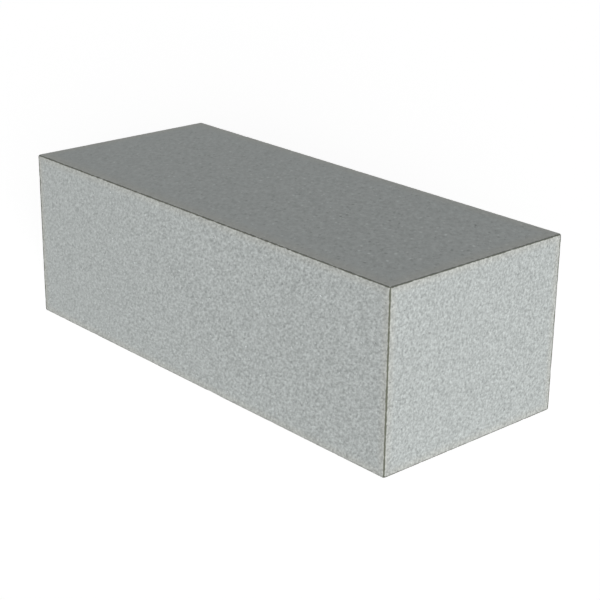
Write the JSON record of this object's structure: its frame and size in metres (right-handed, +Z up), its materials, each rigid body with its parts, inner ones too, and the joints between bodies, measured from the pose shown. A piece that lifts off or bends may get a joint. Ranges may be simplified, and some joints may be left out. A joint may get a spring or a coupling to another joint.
{
  "type": "concrete block",
  "caption": "Solid rectangular building block of pale grey aerated concrete, sawn flat on every side with slightly eased arrises, laid in courses to make walls.",
  "frame": {"origin": "middle of the lower bed, the face that the block lies on", "axes": "+X along the block's length, +Y through its width, +Z up from the lower bed to the upper bed"},
  "size_m": [0.6, 0.25, 0.2],
  "materials": {
    "concrete": "matte"
  },
  "bodies": {
    "root": {"concrete_block": "concrete"}
  },
  "joints": []
}
